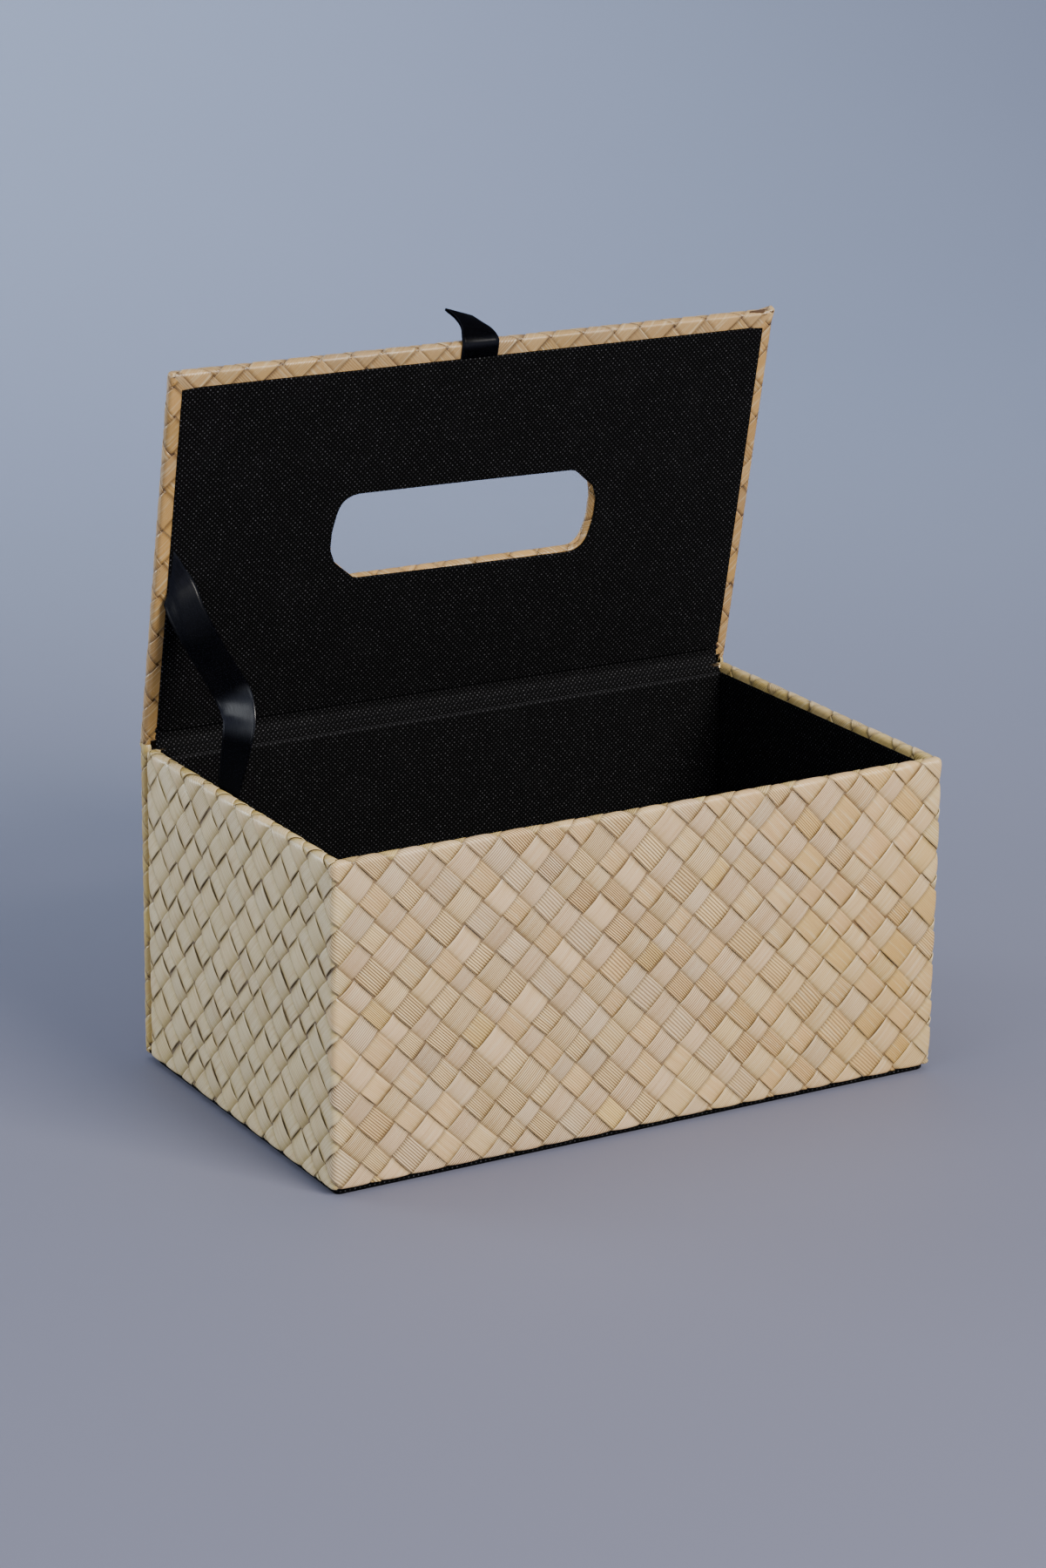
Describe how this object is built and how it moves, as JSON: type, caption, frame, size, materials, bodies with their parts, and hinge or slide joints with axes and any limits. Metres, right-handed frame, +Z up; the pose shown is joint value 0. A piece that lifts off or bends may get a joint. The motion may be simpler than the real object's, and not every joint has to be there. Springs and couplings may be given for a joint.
{
  "type": "woven tissue box",
  "caption": "Rectangular tissue box of greyboard wrapped in bias-woven leaf strips, with a black lining and a hinged lid that has a tissue slot, a ribbon pull tab and a ribbon stay.",
  "frame": {"origin": "centre of the tray's footprint, on the underside of the base plate", "axes": "+X to the right seen from the front, +Y to the back where the hinge is, +Z up"},
  "size_m": [0.25, 0.1507, 0.2716],
  "materials": {
    "woven_leaf": "dry satin leaf strips",
    "greyboard": "matt",
    "black_cloth": "embossed non-woven",
    "black_satin": "satin"
  },
  "bodies": {
    "box": {"base_plate": "black_cloth", "floor_board": "greyboard", "front_wall_board": "greyboard", "back_wall_board": "greyboard", "left_wall_board": "greyboard", "right_wall_board": "greyboard", "tray_mat": "woven_leaf", "floor_lining": "black_cloth", "front_lining": "black_cloth", "back_lining": "black_cloth", "left_lining": "black_cloth", "right_lining": "black_cloth", "back_cover_board": "greyboard", "back_cover_mat": "woven_leaf", "hinge_mat": "woven_leaf", "hinge_cloth": "black_cloth", "stay_ribbon": "black_satin"},
    "lid": {"lid_board": "greyboard", "lid_mat": "woven_leaf", "lid_lining": "black_cloth", "pull_tab": "black_satin"}
  },
  "joints": [
    {"name": "lid_hinge", "type": "hinge", "parent": "box", "child": "lid", "pos_m": [0, 0.0725, 0.121], "axis": [-1, 0, 0], "range_deg": [-79, 16], "deforming": ["hinge_mat", "hinge_cloth", "stay_ribbon"]}
  ]
}
